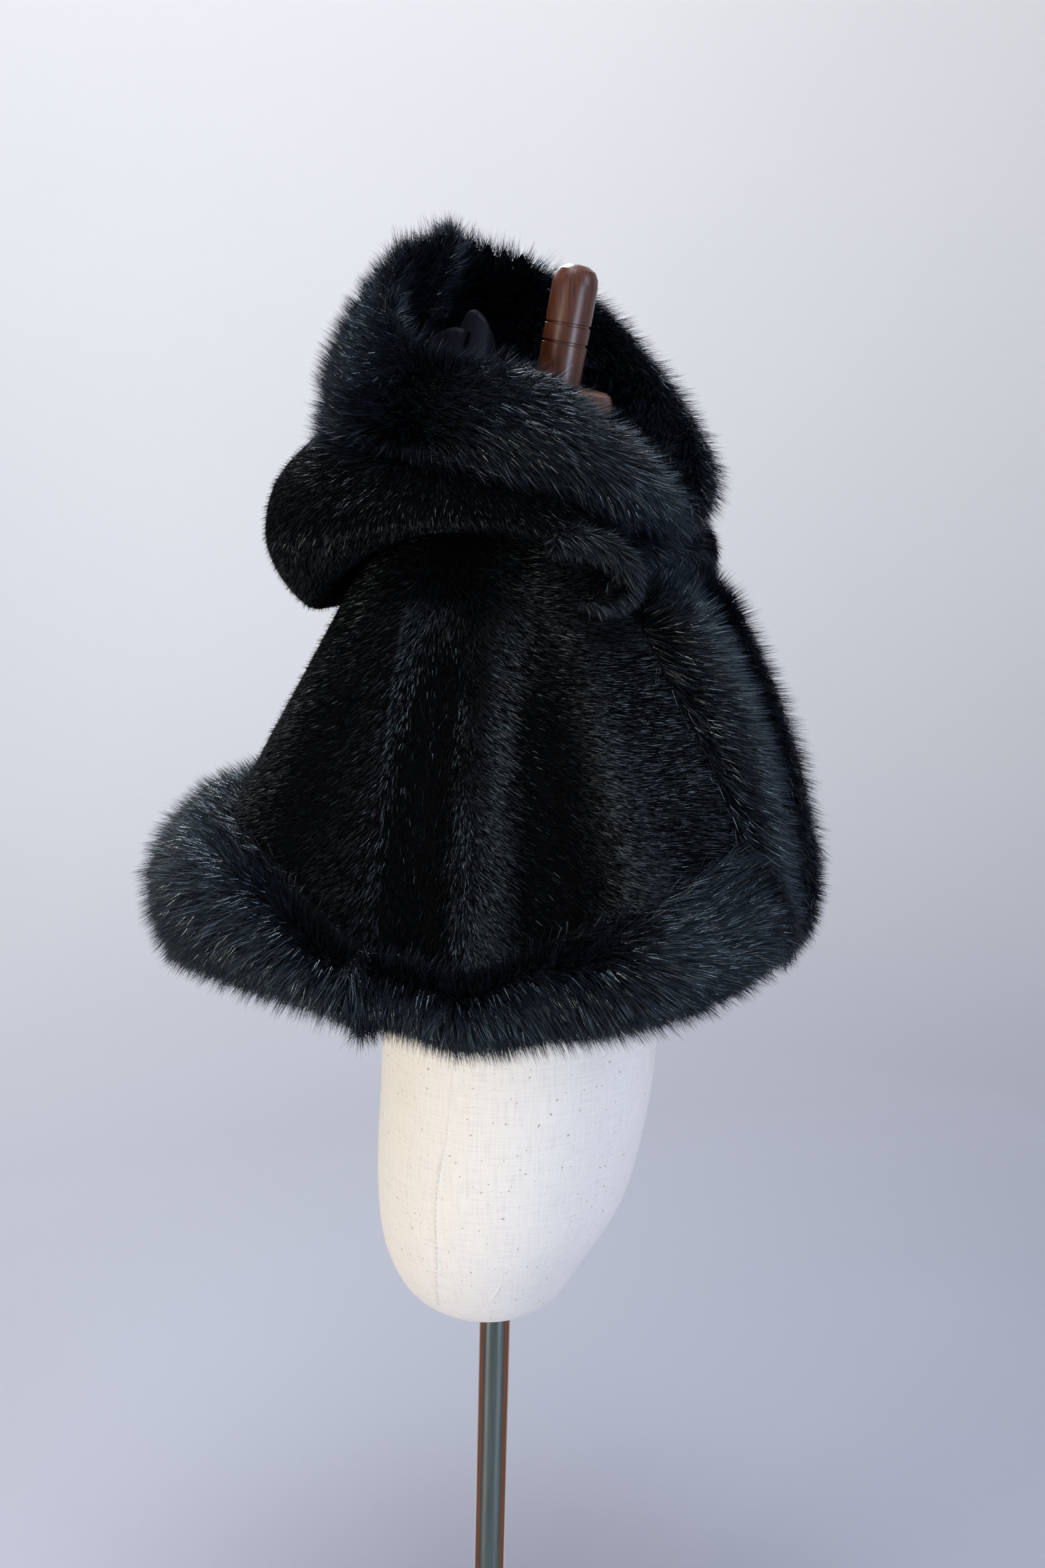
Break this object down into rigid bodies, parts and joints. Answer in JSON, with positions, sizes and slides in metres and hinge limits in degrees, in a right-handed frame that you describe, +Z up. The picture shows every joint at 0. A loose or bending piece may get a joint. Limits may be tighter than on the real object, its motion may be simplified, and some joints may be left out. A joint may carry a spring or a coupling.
{
  "type": "hooded fur cape on a dress form",
  "caption": "Child's short hooded faux-fur cape with long-pile trim round hood, fronts and hem, worn by a limbless linen dress form with wooden neck cap on a chrome pole and round base.",
  "frame": {"origin": "centre of the base plate's underside, on the pole's axis, where the stand meets the floor", "axes": "+Z up along the pole, -Y the way the wearer faces, -X the wearer's right"},
  "size_m": [0.4148, 0.4377, 1.0907],
  "materials": {
    "short_fur": "short-pile faux fur, soft sheen",
    "long_fur": "long-pile faux fur, soft sheen",
    "satin": "black satin",
    "linen": "cream slub linen",
    "wood": "turned and polished, reddish brown",
    "chrome": "bright",
    "base_steel": "satin"
  },
  "bodies": {
    "root": {"body_back": "short_fur", "body_front_right": "short_fur", "body_front_left": "short_fur", "hood_right": "short_fur", "hood_left": "short_fur", "hood_trim_right": "long_fur", "hood_trim_left": "long_fur", "front_trim_right": "long_fur", "front_trim_left": "long_fur", "hem_trim_back": "long_fur", "hem_trim_right": "long_fur", "hem_trim_left": "long_fur", "hood_lining": "satin", "form_torso": "linen", "neck_cap": "wood", "finial": "wood", "pole": "chrome", "base_plate": "base_steel"}
  },
  "joints": []
}
